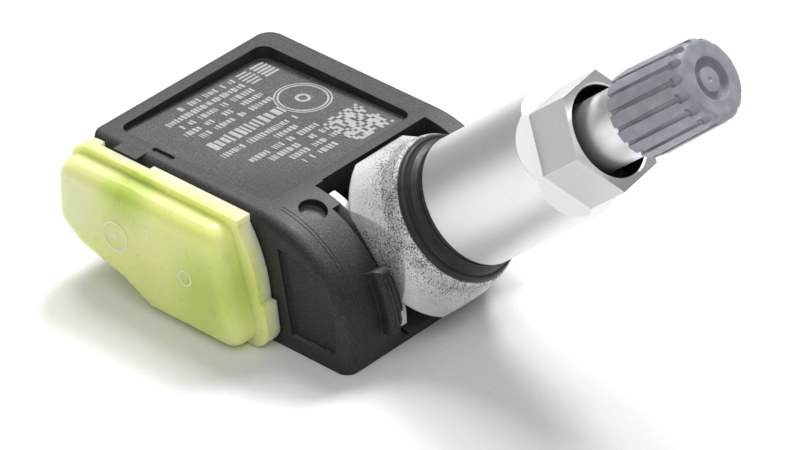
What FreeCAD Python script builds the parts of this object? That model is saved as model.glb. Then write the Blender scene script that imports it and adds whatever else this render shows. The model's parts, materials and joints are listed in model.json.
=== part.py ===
import FreeCAD, Part
import math
import os
import re
import Sketcher
from FreeCAD import Placement, Rotation, Vector

# Tire pressure monitor: a plastic sensor housing that rests on its flat base, with a
# clamp-in valve that swivels on a cross pin.  Millimetres and degrees.
# Frame: origin at the centre of the flat base, under the swivel axis.  +X points to the
# valve side, -Y to the translucent end lid, +Z up.
# Valve pieces are drawn upright on their own axis: local Z runs outwards along the valve,
# local Y across it, and the swivel pin lies near local Z = 0.

SIZES = {
    # housing
    "cradle_radius": 13.7, "cradle_height": 2.5, "tail_length": 26.45, "near_side": 15.05,
    "far_side": 15.55,
    "wall": 1.2, "base_back": 12.6, "slope_back": 16.8, "slope_rise": 2.3,
    "tail_foot_back": 23.6, "tail_foot_rise": 4.2, "tail_side_rise": 6.8,
    "tail_corner": 2.2, "edge_round": 0.45, "cradle_round": 1.5,
    "cavity_front": 2.4, "cavity_top": 13.2,
    # label pocket
    "label_back": 24.4, "label_front": 0.9, "label_left": 12.3, "label_right": 12.3,
    "label_depth": 1.7, "label_corner": 1.4, "label_tilt_x": 1.9, "label_tilt_y": 2.0,
    "slot_x": 16.75, "slot_y": 12.85, "slot_length": 3.3, "slot_width": 0.7, "slot_depth": 0.35,
    # end face
    "dish_low": 1.9, "dish_back": 4.9, "dish_foot": 11.0, "dish_margin": 2.2,
    "dish_top": 0.8, "dish_depth": 0.6,
    # swivel recess in the cradle
    "recess_left": 4.95, "recess_right": 12.8, "recess_floor": 7.2,
    "recess_low": 6.0, "recess_high": 88.0,
    "collar_recess_left": 7.7, "collar_recess_low": 14.0, "collar_recess_high": 70.5,
    "opening_left": 7.0, "opening_low": 30.0, "opening_high": 26.0,
    "boss_radius": 15.6, "boss_left": 9.5, "boss_right": 7.15, "boss_low": 4.0, "boss_high": 35.0,
    "boss_round": 0.9, "rib_count": 3, "rib_inset": 5.0, "rib_rise": 0.2, "rib_thick": 0.3,
    "bevel_angle": 14.0, "bevel_lean": 18.6, "bevel_side": 7.9, "bevel_size": 8.0,
    "dimple_radius": 1.7, "dimple_depth": 1.0, "dimple_x": 3.4, "dimple_y": 9.6,
    # swivel fins and pin
    "fin_radius": 13.5, "fin_thick": 1.0, "fin_left": 6.1, "fin_right": 6.6,
    "fin_low": 0.0, "fin_high": 79.0, "fin_gap": 0.25, "swing_room": 8.0, "hub_radius": 1.7,
    "pin_radius": 0.8, "pin_gap": 0.05, "pin_left": 9.2, "pin_right": 10.4,
    "bridge_inner": 8.7, "bridge_outer": 12.2, "bridge_half_angle": 19.0,
    # valve axis
    "valve_elevation": 41.4, "valve_skew": 8.4, "valve_shift": 0.71, "valve_drop": 0.6,
    # collar
    "collar_half_height": 10.0, "collar_half_width": 9.3, "collar_cut": 3.6,
    "collar_back": 12.0, "collar_front": 18.3, "crown_back": 11.0, "crown_waist": 16.1,
    "crown_middle": 9.4, "crown_front": 9.25,
    "seat_radius": 8.9, "seat_floor": 14.2, "spigot_radius": 3.5, "neck_radius": 6.5,
    "neck_back": 9.0, "ring_groove_radius": 5.5, "ring_wire": 0.5, "ring_room": 0.15,
    # stem
    "flange_radius": 8.0, "flange_top": 15.4, "shank_radius": 4.25, "shank_top": 49.6,
    "thread_radius": 3.85, "stem_top": 58.6, "stem_chamfer": 0.4, "stem_bore": 1.6, "core_radius": 2.6,
    "core_floor": 48.6, "spring_radius": 1.0, "spring_wire": 0.13, "spring_bottom": 50.3,
    "spring_pitch": 0.317, "spring_turns": 2,
    # grommet, washer and nut
    "grommet_band": 19.0, "grommet_neck": 8.15, "grommet_top": 20.5,
    "grommet_round": 0.5, "grommet_lip": 0.35,
    "washer_radius": 7.5, "nut_base": 21.1, "nut_radius": 7.85, "nut_top": 43.9,
    "nut_gap": 0.1, "counterbore_radius": 5.46, "counterbore_floor": 40.4,
    "hex_flat": 6.3, "hex_floor": 38.4, "hex_turn": 5.7, "nut_chamfer": 0.5,
    "nut_edge": 0.25, "hex_sides": 6,
    # cap
    "cap_base": 48.9, "cap_skirt": 1.1, "cap_step": 0.12, "cap_top": 60.3, "cap_radius": 5.15,
    "cap_end_radius": 4.95, "cap_round": 0.9, "cap_flutes": 16, "flute_radius": 0.32,
    "flute_centre": 4.9, "knuckle_radius": 0.6, "knuckle_centre": 5.05, "knuckle_length": 1.7,
    "cap_well_radius": 2.6, "cap_well_depth": 0.8, "cap_disc_radius": 1.55,
    "cap_disc_rise": 0.5, "cap_dot_radius": 0.35, "cap_dot_depth": 0.25, "cap_ceiling": 59.1,
    "cap_relief": 0.1,
    "gasket_bottom": 58.66, "gasket_bore": 1.7, "gasket_gap": 0.02,
    # end lid
    "lid_gap": 0.25, "lid_flange": 2.1, "lid_depth": 5.25, "lid_wall": 1.4, "lid_round": 2.3,
    "lid_foot": 0.12, "lid_top": 16.05, "lid_back": 27.1, "lid_corner": 2.6, "lid_heel": 2.4,
    "cup_inset": 0.9, "cup_margin": 0.15, "round_step": 0.4, "lid_side_low": 3.35,
    "lid_side_high": 1.1, "lid_step_rise": 6.0, "step_lean": 0.5, "step_width": 0.8,
    "side_bow": 18.0, "side_rim": 1.0,
    "tongue_back": 21.9, "tongue_front": 18.3, "tongue_reach": 0.75, "tongue_depth": 1.2,
    "notch_back": 23.7, "notch_front": 15.9,
    # electronics
    "board_thick": 0.8, "board_bottom": 10.6, "board_inset": 0.7, "board_front": 3.0,
    "battery_radius": 10.0, "battery_x": 12.9, "battery_bottom": 5.6, "battery_height": 4.5,
    "battery_step": 0.4, "battery_rim": 1.2,
    "tab_thick": 0.2, "tab_width": 3.0, "tab_gap": 0.6, "tab_hold": 8.0,
    "port_x": 8.0, "port_y": 6.0, "port_radius": 0.75, "gasket_radius": 1.9,
    "gasket_height": 0.9, "membrane_radius": 1.7, "membrane_thick": 0.12,
    "sensor_side": 5.0, "sensor_height": 1.5, "sensor_port_rise": 0.7,
    "radio_x": 15.0, "radio_y": 5.0, "radio_side": 5.0, "radio_height": 0.9,
    "crystal_x": 14.8, "crystal_y": 0.5, "crystal_length": 3.2, "crystal_width": 2.5,
    "crystal_height": 0.8,
    "capacitor_x": 21.9, "capacitor_y": 10.6, "capacitor_length": 1.2, "capacitor_width": 2.0,
    "capacitor_height": 0.7, "capacitor_pitch": 2.2, "capacitor_count": 6,
    "coil_x": 7.6, "coil_y": 7.4, "coil_length": 8.0, "coil_width": 1.6, "coil_height": 1.4,
    "winding_length": 5.2, "winding_thick": 0.4, "winding_under": 0.2,
    "antenna_x": 18.2, "antenna_y": 8.05, "antenna_length": 10.8, "antenna_width": 9.7,
    "antenna_wire": 0.6, "antenna_height": 0.9,
    # valve core
    "core_bottom": 52.5, "core_top": 57.2, "core_dish": 1.0, "core_mouth": 1.6,
    "core_hole": 0.95, "seal_thick": 0.6, "seal_hole": 1.85,
    "core_pin_radius": 0.45, "core_pin_bottom": 50.1, "core_pin_neck": 57.9,
    "core_pin_top": 58.2, "core_pin_head": 0.75,
    "plunger_bottom": 51.1, "plunger_top": 51.8, "plunger_radius": 1.7,
}

doc = FreeCAD.newDocument("tire_pressure_monitor")
sheet = doc.addObject("Spreadsheet::Sheet", "Sizes")
for row, (alias, value) in enumerate(SIZES.items(), start=1):
    sheet.set(f"A{row}", alias)
    sheet.set(f"B{row}", str(value))
    sheet.setAlias(f"B{row}", alias)
doc.recompute()


def size(alias):
    """The value of one driving dimension, read back from the sheet."""
    return float(getattr(sheet, alias))


def bound(formula):
    """A formula in plain aliases, written as FreeCAD wants it: with the sheet's name."""
    return re.sub(r"[a-z][a-z_]*", lambda word: f"Sizes.{word.group()}"
                  if word.group() in SIZES else word.group(), str(formula))


def number(formula):
    """What a formula comes to now, for a sketch's first drawing."""
    return float(sheet.evalExpression(bound(formula)))


# ---------------------------------------------------------------- sketches and bodies

def new_sketch(body, role, name, offset="0"):
    """A sketch on one of the body's own origin planes, moved along the plane's normal."""
    plane = next(item for item in body.Origin.OriginFeatures if item.Role == role)
    sketch = body.newObject("Sketcher::SketchObject", name)
    sketch.AttachmentSupport = [(plane, "")]
    sketch.MapMode = "FlatFace"
    sketch.setExpression("AttachmentOffset.Base.z", bound(offset))
    return sketch


def pin_point(sketch, edge, end, across, up):
    """Hold one end of an edge at sizes taken from the sheet."""
    for kind, formula in (("DistanceX", across), ("DistanceY", up)):
        index = sketch.addConstraint(
            Sketcher.Constraint(kind, -1, 1, edge, end, number(formula)))
        sketch.setExpression(f"Constraints[{index}]", bound(formula))


def first_end(sketch, edge, place):
    """Which end of an edge (1 or 2) lies at a place: arcs always run anticlockwise."""
    return 1 if (sketch.getPoint(edge, 1) - place).Length < 1e-4 else 2


def draw_outline(sketch, corners):
    """A closed outline.  A corner is (across, up), or (across, up, radius) when the edge
    that arrives there is an arc, which bulges to the right of the way it is drawn;
    a negative radius bulges to the left."""
    count = len(corners)
    places = [Vector(number(corner[0]), number(corner[1]), 0) for corner in corners]
    for index, start in enumerate(places):
        arrival = corners[(index + 1) % count]
        finish = places[(index + 1) % count]
        if len(arrival) == 2:
            sketch.addGeometry(Part.LineSegment(start, finish))
            continue
        radius = number(arrival[2])
        chord = finish - start
        rise = abs(radius) - math.sqrt(max(radius ** 2 - (chord.Length / 2) ** 2, 0))
        outward = Vector(chord.y, -chord.x, 0).normalize()
        middle = (start + finish) * 0.5 + outward * math.copysign(rise, radius)
        sketch.addGeometry(Part.Arc(start, middle, finish))
    for index, place in enumerate(places):
        before = (index - 1) % count
        near = first_end(sketch, index, place)
        pin_point(sketch, index, near, *corners[index][:2])
        sketch.addConstraint(Sketcher.Constraint(
            "Coincident", before, first_end(sketch, before, place), index, near))
        if len(corners[index]) == 3:
            radius = abs(number(corners[index][2]))
            held = sketch.addConstraint(Sketcher.Constraint("Radius", before, radius))
            sketch.setExpression(f"Constraints[{held}]", bound(f"abs({corners[index][2]})"))


def draw_circle(sketch, across, up, radius):
    """A circle held by its centre and radius."""
    centre = Vector(number(across), number(up), 0)
    edge = sketch.addGeometry(Part.Circle(centre, Vector(0, 0, 1), number(radius)))
    pin_point(sketch, edge, 3, across, up)
    held = sketch.addConstraint(Sketcher.Constraint("Radius", edge, number(radius)))
    sketch.setExpression(f"Constraints[{held}]", bound(radius))


def new_body(name):
    """A body whose label names its piece."""
    body = doc.addObject("PartDesign::Body", name)
    body.Label = name
    return body


def padded(name, role, corners, near, far):
    """A body padded from one outline, between two distances along the plane's normal."""
    body = new_body(name)
    sketch = new_sketch(body, role, f"{name}_outline", near)
    draw_outline(sketch, corners)
    pad = body.newObject("PartDesign::Pad", f"{name}_pad")
    pad.Profile = sketch
    pad.setExpression("Length", bound(f"({far}) - ({near})"))
    sketch.Visibility = False
    return body


def across_body(name, corners, low_y, high_y):
    """A body with an outline in X and Z, between two places along Y (the XZ plane faces -Y)."""
    return padded(name, "XZ_Plane", corners, f"-({high_y})", f"-({low_y})")


def upright_body(name, corners, low_z, high_z):
    """A body with an outline in X and Y, between two heights."""
    return padded(name, "XY_Plane", corners, low_z, high_z)


def turned(name, profile):
    """A body turned about local Z from a half profile of (radius, height) corners."""
    body = new_body(name)
    sketch = new_sketch(body, "XZ_Plane", f"{name}_profile")
    draw_outline(sketch, profile)
    turn = body.newObject("PartDesign::Revolution", f"{name}_turn")
    turn.Profile = sketch
    turn.ReferenceAxis = (sketch, ["V_Axis"])
    turn.Angle = 360
    sketch.Visibility = False
    return body


def ring_profile(inner, outer, low, high):
    """The half profile of a plain ring or tube."""
    return [(inner, low), (outer, low), (outer, high), (inner, high)]


def rectangle(low_x, low_y, high_x, high_y):
    """The corners of a rectangle, anticlockwise."""
    return [(low_x, low_y), (high_x, low_y), (high_x, high_y), (low_x, high_y)]


def round_edges(body, radius, wanted):
    """Fillet the edges of a body's tip that pass a test."""
    doc.recompute()
    tip = body.Tip
    names = [f"Edge{index}" for index, edge in enumerate(tip.Shape.Edges, start=1)
             if wanted(edge)]
    fillet = body.newObject("PartDesign::Fillet", f"{body.Name}_round")
    fillet.Base = (tip, names)
    fillet.setExpression("Radius", bound(radius))


# ---------------------------------------------------------------- primitives and booleans

def box(name, low, high):
    """A Part box between two corners given as formulas."""
    item = doc.addObject("Part::Box", name)
    for axis, length, start, stop in zip("xyz", ("Length", "Width", "Height"), low, high):
        item.setExpression(length, bound(f"({stop}) - ({start})"))
        item.setExpression(f"Placement.Base.{axis}", bound(start))
    return item


def cylinder(name, radius, height, base=None, turn=None, angle="360"):
    """A Part cylinder, upright unless turned."""
    item = doc.addObject("Part::Cylinder", name)
    item.setExpression("Radius", bound(radius))
    item.setExpression("Height", bound(height))
    item.setExpression("Angle", bound(angle))
    if turn:
        item.Placement = Placement(Vector(), turn)
    for axis, start in zip("xyz", base or ()):
        item.setExpression(f"Placement.Base.{axis}", bound(start))
    return item


def joined(name, pieces):
    """Pieces fused into one."""
    item = doc.addObject("Part::MultiFuse", name)
    item.Shapes = pieces
    item.Label = name
    return item


def cut(name, base, tools):
    """A piece with one or more tools taken out of it."""
    tool = tools[0] if len(tools) == 1 else joined(f"{name}_tools", tools)
    item = doc.addObject("Part::Cut", name)
    item.Base = base
    item.Tool = tool
    item.Label = name
    return item


def common(name, pieces):
    """What pieces share."""
    item = doc.addObject("Part::MultiCommon", name)
    item.Shapes = pieces
    item.Label = name
    return item


ALONG_Y = Rotation(Vector(1, 0, 0), 90)


def swivel_sector(name, radius, low_angle, high_angle, low_y, high_y):
    """A wedge of a disc about the swivel axis.  Angles rise from +X towards +Z."""
    turn = Rotation(Vector(0, 1, 0), -number(low_angle)) * ALONG_Y
    base = ("0", high_y, "cradle_height")
    return cylinder(name, radius, f"({high_y}) - ({low_y})", base, turn,
                    f"({high_angle}) - ({low_angle})")


def swivel_disc(name, radius, low_y, high_y):
    """A full disc about the swivel axis."""
    return cylinder(name, radius, f"({high_y}) - ({low_y})", ("0", high_y, "cradle_height"),
                    ALONG_Y)


def on_valve(item):
    """Lay an upright piece on the valve's axis."""
    lean = Rotation(Vector(0, 1, 0), 90 - size("valve_elevation"))
    skew = Rotation(Vector(1, 0, 0), -size("valve_skew"))
    start = Vector(0, size("valve_shift"), size("cradle_height") - size("valve_drop"))
    item.Placement = Placement(start, lean * skew)
    return item


# ---------------------------------------------------------------- housing

def side_profile(back="tail_length", foot="0"):
    """The housing's outline from the side: flat base, lifted tail, round cradle."""
    cradle_foot = "sqrt(cradle_radius^2 - cradle_height^2)"
    return [
        (f"-({back})", "tail_side_rise"),
        ("-tail_foot_back", "tail_foot_rise"),
        ("-slope_back", "slope_rise"),
        ("-base_back", foot),
        (cradle_foot, foot),
        ("0", "cradle_radius + cradle_height", "cradle_radius"),
        (f"-({back})", "cradle_radius + cradle_height"),
    ]


def is_upright(edge, x, y):
    """Whether an edge runs along Z at a place."""
    low, high = (vertex.Point for vertex in (edge.Vertexes[0], edge.Vertexes[-1]))
    return (abs(low.x - x) < 0.01 and abs(high.x - x) < 0.01 and abs(low.y - y) < 0.01
            and abs(high.y - y) < 0.01)


def housing_block():
    """The housing before anything is hollowed out of it."""
    near, far = size("near_side"), size("far_side")
    top = size("cradle_radius") + size("cradle_height")
    back = size("tail_length")
    reach = 1.5 * size("tail_corner")
    block = across_body("housing_block", side_profile(), "-near_side", "far_side")
    round_edges(block, "tail_corner", lambda edge: is_upright(edge, -back, far))

    def on_top_rim(edge):
        box_ = edge.BoundBox
        if box_.ZMin < top - 0.01:
            return False
        by_far_side = box_.YMin > far - reach and box_.XMax < 0.01
        by_tail = box_.XMax < -back + reach and box_.YMax > 0
        return by_far_side or by_tail
    round_edges(block, "edge_round", on_top_rim)

    def on_cradle_side(edge):
        box_ = edge.BoundBox
        flat = box_.YMax - box_.YMin < 0.01 and abs(box_.YMax + near) < 0.01
        return flat and box_.XMin > -0.01 and min(box_.XLength, box_.ZLength) > reach
    round_edges(block, "cradle_round", on_cradle_side)
    return block


def label_pocket():
    """A rounded recess whose floor tilts, deepest at the far corner away from the lid."""
    top = "cradle_radius + cradle_height"
    outline = upright_body("label_outline",
                           rectangle("-label_back", "-label_left", "-label_front", "label_right"),
                           f"{top} - label_depth - 1", f"{top} + 1")
    round_edges(outline, "label_corner", lambda edge: edge.BoundBox.ZLength > 2)
    floor = doc.addObject("Part::Box", "label_floor")
    for length in ("Length", "Width"):
        floor.setExpression(length, bound("label_back + label_right"))
    floor.setExpression("Height", bound("cradle_radius"))
    tilt = Rotation(Vector(0, 1, 0), -size("label_tilt_x"))
    tilt = tilt * Rotation(Vector(1, 0, 0), -size("label_tilt_y"))
    deepest = Vector(-size("label_back"), size("label_right"), number(f"{top} - label_depth"))
    reach = Vector(1, number("label_back + label_right - 1"), 0)
    floor.Placement = Placement(deepest - tilt.multVec(reach), tilt)
    return common("label_pocket", [outline, floor])


def electronics_cavity():
    """The room for the board and battery, open towards the lid."""
    corners = [
        ("-tail_length + wall", "tail_side_rise + wall / 2"),
        ("-tail_foot_back + wall / 2", "tail_foot_rise + wall"),
        ("-slope_back", "slope_rise + wall"),
        ("-base_back", "wall"),
        ("-cavity_front", "wall"),
        ("-cavity_front", "cavity_top"),
        ("-tail_length + wall", "cavity_top"),
    ]
    return across_body("electronics_cavity", corners, "-near_side - 1", "far_side - wall")


def recess_part(name, low_angle, high_angle, low_y, high_y):
    """One sweep of the swivel recess, outside its floor."""
    sweep = swivel_sector(f"{name}_sweep", "2 * cradle_radius", low_angle, high_angle,
                          low_y, high_y)
    core = swivel_disc(f"{name}_core", "recess_floor", f"{low_y} - 1", f"{high_y} + 1")
    return cut(name, sweep, [core])


def swivel_recess():
    """The clearance that the collar, its bridge and its two fins swing in."""
    tools = [
        recess_part("neck_recess", "-recess_low", "recess_high", "-recess_left", "recess_right"),
        recess_part("collar_recess", "collar_recess_low", "collar_recess_high",
                    "-collar_recess_left", "-recess_left + 1"),
        recess_part("side_opening", "-opening_low", "opening_high", "opening_left",
                    "far_side + 1"),
    ]
    for name, left in (("left_slot", "-fin_left"), ("right_slot", "fin_right")):
        low, high = f"{left} - fin_gap", f"{left} + fin_thick + fin_gap"
        tools.append(swivel_sector(name, "fin_radius + fin_gap", "fin_low - swing_room",
                                   "fin_high + swing_room", low, high))
        tools.append(swivel_disc(f"{name}_hub", "hub_radius + fin_gap", low, high))
    return tools


def end_face_dish():
    """The shallow sunk field in the housing's end face, beside the lid."""
    return across_body("end_dish", [
        ("dish_back", "dish_low"), ("dish_foot", "dish_low"),
        ("cradle_radius - dish_margin", "cradle_height"),
        ("cradle_radius - 2 * dish_margin", "cradle_radius - dish_margin",
         "cradle_radius - dish_margin"),
        ("dish_back - dish_margin", "cradle_radius - dish_top", "cradle_radius"),
    ], "-near_side - 1", "-near_side + dish_depth")


def collar_boss():
    """The rounded, ribbed boss on the cradle beside the collar."""
    disc = swivel_sector("boss_disc", "boss_radius", "boss_low", "boss_high",
                         "-boss_left", "-boss_right")
    core = swivel_disc("boss_core", "cradle_radius - cradle_round", "-boss_left - 1", "-boss_right + 1")
    arc = cut("boss_arc", disc, [core])
    doc.recompute()
    soft = doc.addObject("Part::Fillet", "boss_soft")
    soft.Base = arc
    outer = size("boss_radius")
    axis = Vector(0, 0, size("cradle_height"))

    def on_outer_face(edge):
        ends = [vertex.Point - axis for vertex in edge.Vertexes]
        return all(abs(math.hypot(end.x, end.z) - outer) < 0.01 for end in ends)
    soft.Edges = [(index, size("boss_round"), size("boss_round"))
                  for index, edge in enumerate(arc.Shape.Edges, start=1) if on_outer_face(edge)]
    ribs = []
    for index in range(int(size("rib_count"))):
        share = f"({index} + 1) / (rib_count + 1)"
        middle = f"-boss_left + {share} * (boss_left - boss_right)"
        ribs.append(swivel_sector(f"boss_rib_{index}", "boss_radius + rib_rise", "boss_low + rib_inset",
                                  "boss_high - rib_inset", f"{middle} - rib_thick / 2",
                                  f"{middle} + rib_thick / 2"))
    arcs = [cut(f"{rib.Name}_arc", rib, [swivel_disc(
        f"{rib.Name}_core", "boss_radius - 1", "-boss_left", "-boss_right")]) for rib in ribs]
    return cut("collar_boss", joined("boss_whole", [soft] + arcs), [boss_bevel()])


def boss_bevel():
    """The slanted cut that narrows the boss towards its lower end."""
    tool = doc.addObject("Part::Box", "boss_bevel")
    for length in ("Length", "Width", "Height"):
        tool.setExpression(length, bound("bevel_size"))
    half = size("bevel_size") / 2
    around = Rotation(Vector(0, 1, 0), -size("bevel_angle"))
    turn = around * Rotation(Vector(1, 0, 0), -size("bevel_lean"))
    corner = around.multVec(Vector(size("boss_radius"), -size("bevel_side"), 0))
    start = turn.multVec(Vector(-half, 0, -half))
    tool.Placement = Placement(corner + start + Vector(0, 0, size("cradle_height")), turn)
    return tool


def dimple_tool():
    """The round blind dimple in the cradle, square to its surface."""
    lean = Rotation(Vector(0, 1, 0), math.degrees(math.asin(
        size("dimple_x") / size("cradle_radius"))))
    floor = lean.multVec(Vector(0, 0, size("cradle_radius") - size("dimple_depth")))
    tool = cylinder("dimple", "dimple_radius", "dimple_depth + 3")
    tool.Placement = Placement(Vector(0, -size("dimple_y"), size("cradle_height")) + floor, lean)
    return tool


def rim_slot():
    """The short shallow slot in the rim beside the label pocket."""
    top = "cradle_radius + cradle_height"
    slot = upright_body("rim_slot", rectangle(
        "-slot_x - slot_length / 2", "-slot_y - slot_width / 2",
        "-slot_x + slot_length / 2", "-slot_y + slot_width / 2"),
        f"{top} - slot_depth", f"{top} + 1")
    round_edges(slot, "slot_width / 2 - 0.01", lambda edge: edge.BoundBox.ZLength > 1)
    return slot


def housing():
    """The moulded shell: the block and its boss and tongue, less the hollows."""
    top = "cradle_radius + cradle_height"
    tongue = box("lid_tongue",
                 ("-tongue_back", "-near_side - tongue_reach", f"{top} - tongue_depth"),
                 ("-tongue_front", "-near_side + wall", top))
    whole = joined("housing_whole", [housing_block(), tongue, collar_boss()])
    port = cylinder("port", "port_radius", "2 * wall", ("-port_x", "port_y", "-wall / 2"))
    pin_bore = cylinder("pin_bore", "pin_radius", "pin_left + pin_right",
                        ("0", "pin_right", "cradle_height"), ALONG_Y)
    tools = [label_pocket(), electronics_cavity(), end_face_dish(), dimple_tool(), rim_slot(),
             port, pin_bore]
    return cut("housing", whole, tools + swivel_recess())


# ---------------------------------------------------------------- end lid

def flange_corners():
    """The lid flange's outline seen from its end: the housing's, with a slanted inner side."""
    return [
        ("-lid_back", "tail_side_rise"), ("-tail_foot_back", "tail_foot_rise"),
        ("-slope_back", "slope_rise"), ("-base_back", "lid_foot"),
        ("lid_side_low - lid_heel", "lid_foot"),
        ("lid_side_low", "lid_foot + lid_heel", "lid_heel"),
        ("lid_side_low - step_lean", "lid_step_rise"),
        ("lid_side_low - step_lean - step_width", "lid_step_rise"),
        ("-lid_side_high", "lid_top - side_rim", "side_bow"), ("-lid_side_high", "lid_top"),
        ("-lid_back + lid_corner", "lid_top"), ("-lid_back", "lid_top - lid_corner", "lid_corner"),
    ]


def cup_corners(inset):
    """The raised cup's outline, moved inwards by an inset."""
    return [
        (f"-lid_back + {inset}", f"tail_side_rise + {inset} / 2"),
        (f"-tail_foot_back + {inset}", f"tail_foot_rise + {inset} / 2"),
        (f"-slope_back + {inset} / 2", f"slope_rise + {inset}"),
        (f"-base_back + {inset} / 2", f"lid_foot + {inset}"),
        (f"lid_side_low - cup_inset - {inset}", f"lid_foot + {inset}"),
        (f"-lid_side_high - cup_inset - {inset}", f"lid_top - cup_inset - {inset}"),
        (f"-lid_back + {inset}", f"lid_top - cup_inset - {inset}"),
    ]


def cup_body(name, inset, corner, low_y, high_y):
    """The cup, or its hollow, with rounded corners and a rounded front."""
    body = across_body(name, cup_corners(inset), low_y, high_y)
    round_edges(body, corner, lambda edge: edge.BoundBox.YLength > 1)
    front = number(low_y)
    round_edges(body, f"{corner} - round_step", lambda edge: edge.BoundBox.YMax < front + 0.01)
    return body


def end_lid():
    """The translucent moulded lid: a flange against the housing and a raised hollow cup."""
    seat = "-near_side - lid_gap"
    flange = across_body("lid_flange_plate", flange_corners(), f"{seat} - lid_flange", seat)
    cup = cup_body("lid_cup", "cup_margin", "lid_round", f"{seat} - lid_depth",
                   f"{seat} - lid_flange / 2")
    hollow = cup_body("lid_hollow", "lid_wall", "lid_round - 1.5 * round_step",
                      f"{seat} - lid_depth + lid_wall", f"{seat} + 1")
    notch = box("lid_notch", ("-notch_back", f"{seat} - tongue_reach", "lid_top - tongue_depth"),
                ("-notch_front", f"{seat} + 1", "lid_top + 1"))
    return cut("end_lid", joined("lid_body", [flange, cup]), [hollow, notch])


# ---------------------------------------------------------------- electronics

def board_box(name, x, y, length, width, low, high):
    """A box on the board, centred at x and y."""
    return box(name, (f"{x} - {length} / 2", f"{y} - {width} / 2", low),
               (f"{x} + {length} / 2", f"{y} + {width} / 2", high))


def battery_pieces():
    """The coin cell and its two bent tabs, which stand under the board."""
    battery_top = "battery_bottom + battery_height"
    step = "battery_height - battery_step"
    can = turned("battery_cell", [
        ("0", "0"), ("battery_radius", "0"), ("battery_radius", step),
        ("battery_radius - battery_rim", step), ("battery_radius - battery_rim", "battery_height"),
        ("0", "battery_height")])
    can.Placement = Placement(Vector(-size("battery_x"), 0, size("battery_bottom")), Rotation())
    near = "battery_radius + tab_gap"
    left = "-battery_x - tab_width / 2"
    right = "-battery_x + tab_width / 2"
    low = "battery_bottom - tab_thick"
    hold = "battery_radius - tab_hold"
    plus = joined("battery_tab_positive", [
        box("plus_foot", (left, hold, low), (right, f"{near} + tab_thick", "battery_bottom")),
        box("plus_riser", (left, near, low), (right, f"{near} + tab_thick", "board_bottom"))])
    minus = joined("battery_tab_negative", [
        box("minus_foot", (left, f"-({near}) - tab_thick", battery_top),
            (right, f"-({hold})", f"{battery_top} + tab_thick")),
        box("minus_riser", (left, f"-({near}) - tab_thick", battery_top),
            (right, f"-({near})", "board_bottom"))])
    return [can, plus, minus]


def chips(board_top):
    """The small parts that stand on the board."""
    sensor = cut("pressure_sensor_chip", board_box(
        "sensor_block", "-port_x", "port_y", "sensor_side", "sensor_side", board_top,
        f"{board_top} + sensor_height"),
        [cylinder("sensor_port", "port_radius", "sensor_height",
                  ("-port_x", "port_y", f"{board_top} + sensor_port_rise"))])
    radio = board_box("radio_chip", "-radio_x", "radio_y", "radio_side", "radio_side",
                      board_top, f"{board_top} + radio_height")
    crystal = board_box("radio_crystal", "-crystal_x", "-crystal_y", "crystal_length",
                        "crystal_width", board_top, f"{board_top} + crystal_height")
    capacitors = joined("chip_capacitors", [
        board_box(f"capacitor_{index}", f"-capacitor_x + {index} * capacitor_pitch",
                  "capacitor_y", "capacitor_length", "capacitor_width", board_top,
                  f"{board_top} + capacitor_height")
        for index in range(int(size("capacitor_count")))])
    return [sensor, radio, crystal, capacitors]


def coils(board_top):
    """The ferrite receiving coil with its winding, and the transmitting loop."""
    low = f"{board_top} + winding_under"
    high = f"{low} + coil_height"
    core = board_box("lf_coil_core", "-coil_x", "-coil_y", "coil_length", "coil_width", low, high)
    window = board_box("winding_window", "-coil_x", "-coil_y", "coil_length", "coil_width",
                       low, high)
    winding = cut("lf_coil_winding", board_box(
        "winding_block", "-coil_x", "-coil_y", "winding_length",
        "(coil_width + 2 * winding_thick)", board_top, f"{high} + winding_under"), [window])
    antenna = cut("rf_antenna", board_box(
        "antenna_outer", "-antenna_x", "-antenna_y", "antenna_length", "antenna_width",
        board_top, f"{board_top} + antenna_height"),
        [board_box("antenna_inner", "-antenna_x + antenna_wire", "-antenna_y",
                   "antenna_length", "(antenna_width - 2 * antenna_wire)",
                   board_top, f"{board_top} + antenna_height")])
    return [core, winding, antenna]


def port_seal():
    """The gasket and the membrane over the pressure port."""
    gasket = turned("port_gasket", ring_profile("port_radius + nut_gap", "gasket_radius", "0",
                                                "gasket_height"))
    gasket.Placement = Placement(Vector(-size("port_x"), size("port_y"), size("wall")), Rotation())
    membrane = cylinder("port_membrane", "membrane_radius", "membrane_thick",
                        ("-port_x", "port_y", "wall + gasket_height"))
    return [gasket, membrane]


def electronics():
    """The board, its parts, the battery with its tabs, and the pressure port's seal."""
    board_top = "board_bottom + board_thick"
    back = "-tail_length + wall + board_inset"
    side = "near_side - wall - board_inset"
    board = upright_body("circuit_board", rectangle(back, f"-({side})", "-board_front", side),
                         "board_bottom", board_top)
    return [board] + battery_pieces() + chips(board_top) + coils(board_top) + port_seal()


# ---------------------------------------------------------------- swivel and collar

def octagon(half_x, half_y, corner):
    """A rectangle with cut corners, anticlockwise."""
    return [
        (f"-{half_x} + {corner}", f"-{half_y}"), (f"{half_x} - {corner}", f"-{half_y}"),
        (half_x, f"-{half_y} + {corner}"), (half_x, f"{half_y} - {corner}"),
        (f"{half_x} - {corner}", half_y), (f"-{half_x} + {corner}", half_y),
        (f"-{half_x}", f"{half_y} - {corner}"), (f"-{half_x}", f"-{half_y} + {corner}"),
    ]


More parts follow.
